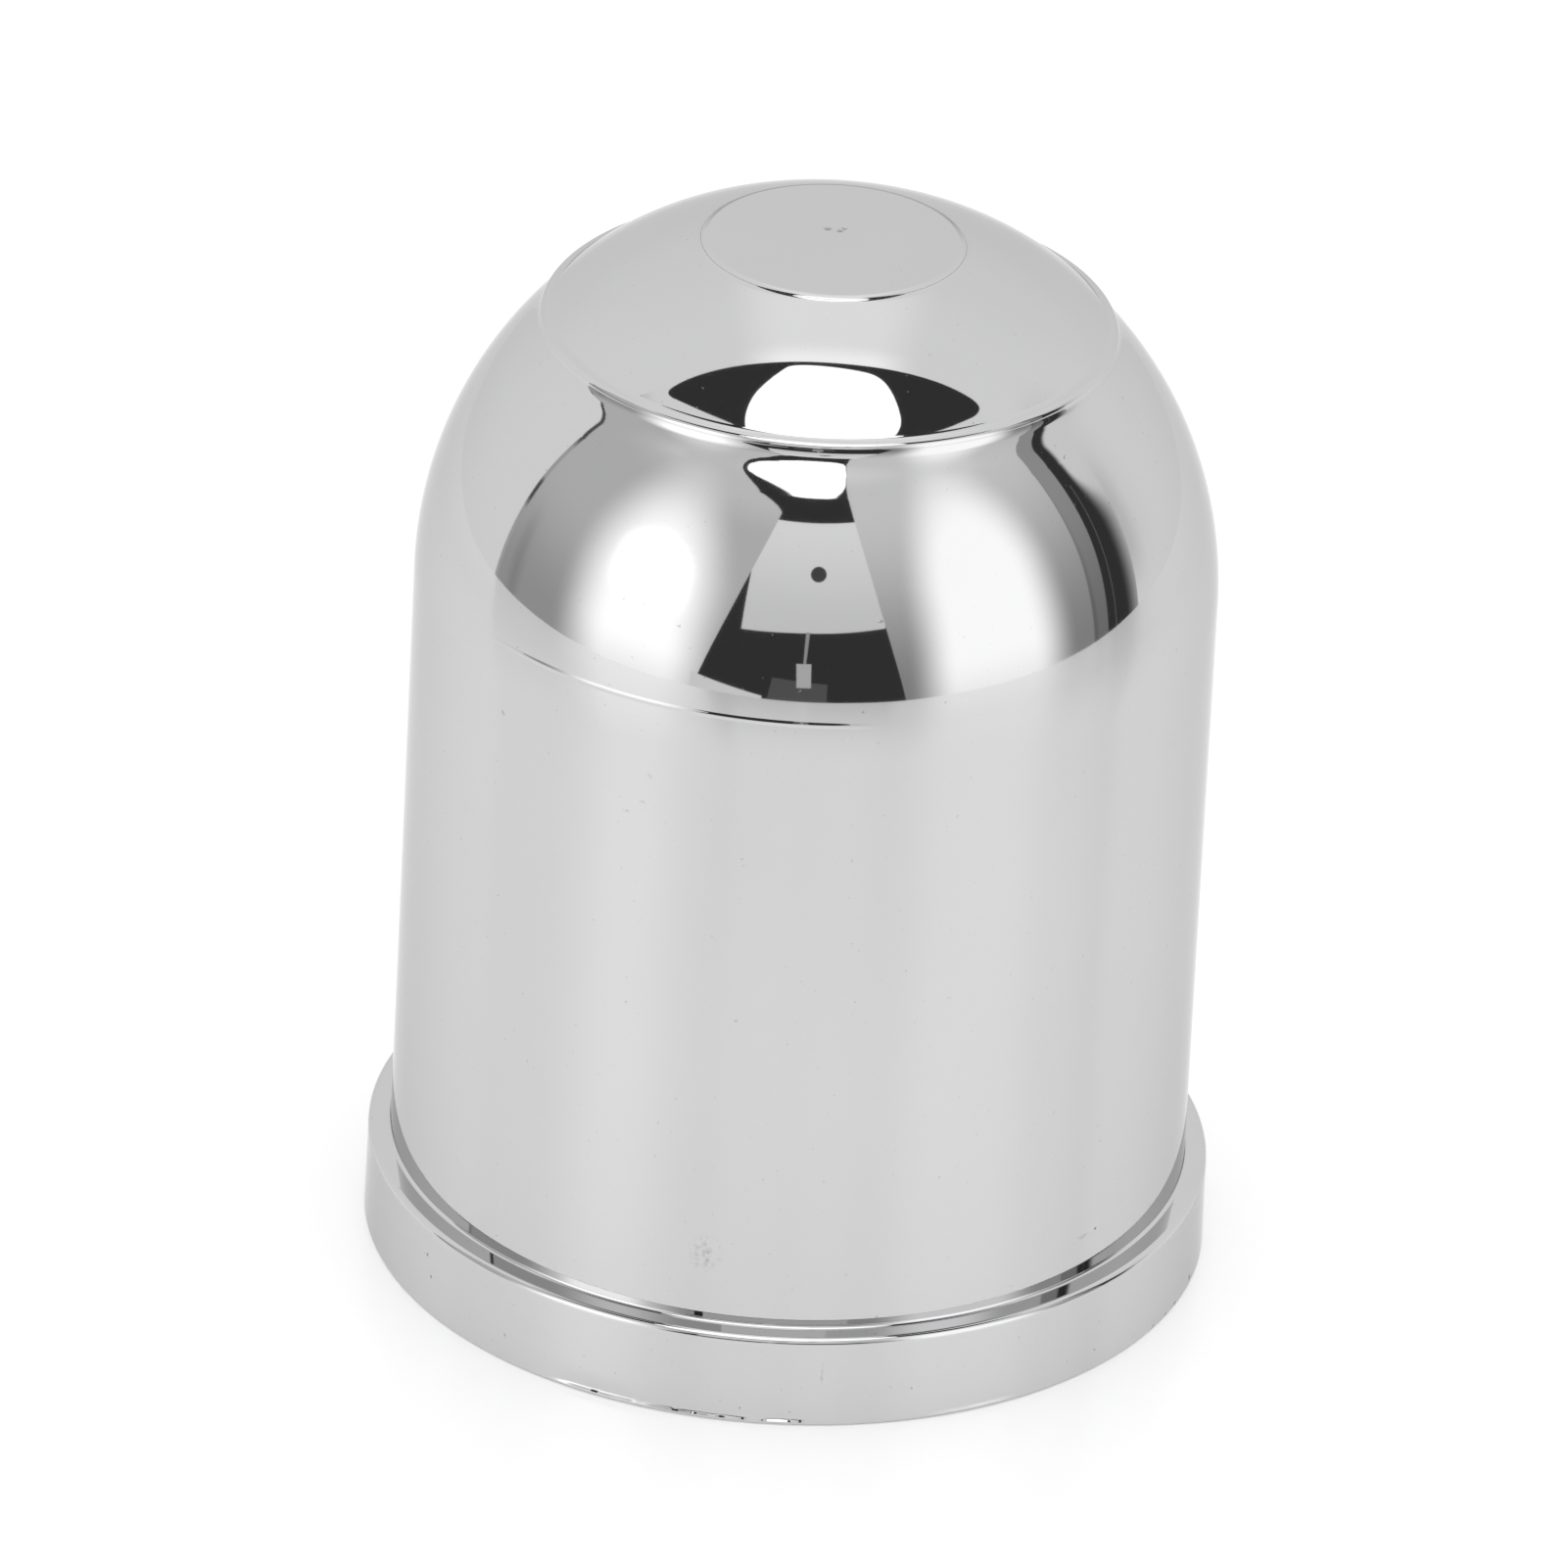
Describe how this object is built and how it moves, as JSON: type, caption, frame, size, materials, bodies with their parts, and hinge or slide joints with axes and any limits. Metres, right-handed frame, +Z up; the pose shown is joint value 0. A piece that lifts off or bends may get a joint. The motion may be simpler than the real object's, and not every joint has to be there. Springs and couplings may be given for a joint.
{
  "type": "tow ball cover",
  "caption": "Domed chrome cover for a tow ball: a hollow one-piece shell with a banded rim, a stepped cap with a flat top disc, and grip ribs inside.",
  "frame": {"origin": "centre of the rim's underside, in the plane of the mouth", "axes": "+Z up along the shell's axis, from the open mouth to the top disc; +X through one of the ribs inside"},
  "size_m": [0.065, 0.065, 0.0834],
  "materials": {
    "chrome_plating": "polished decorative chrome plating on moulded plastic"
  },
  "bodies": {
    "root": {"tow_ball_cover": "chrome_plating"}
  },
  "joints": []
}
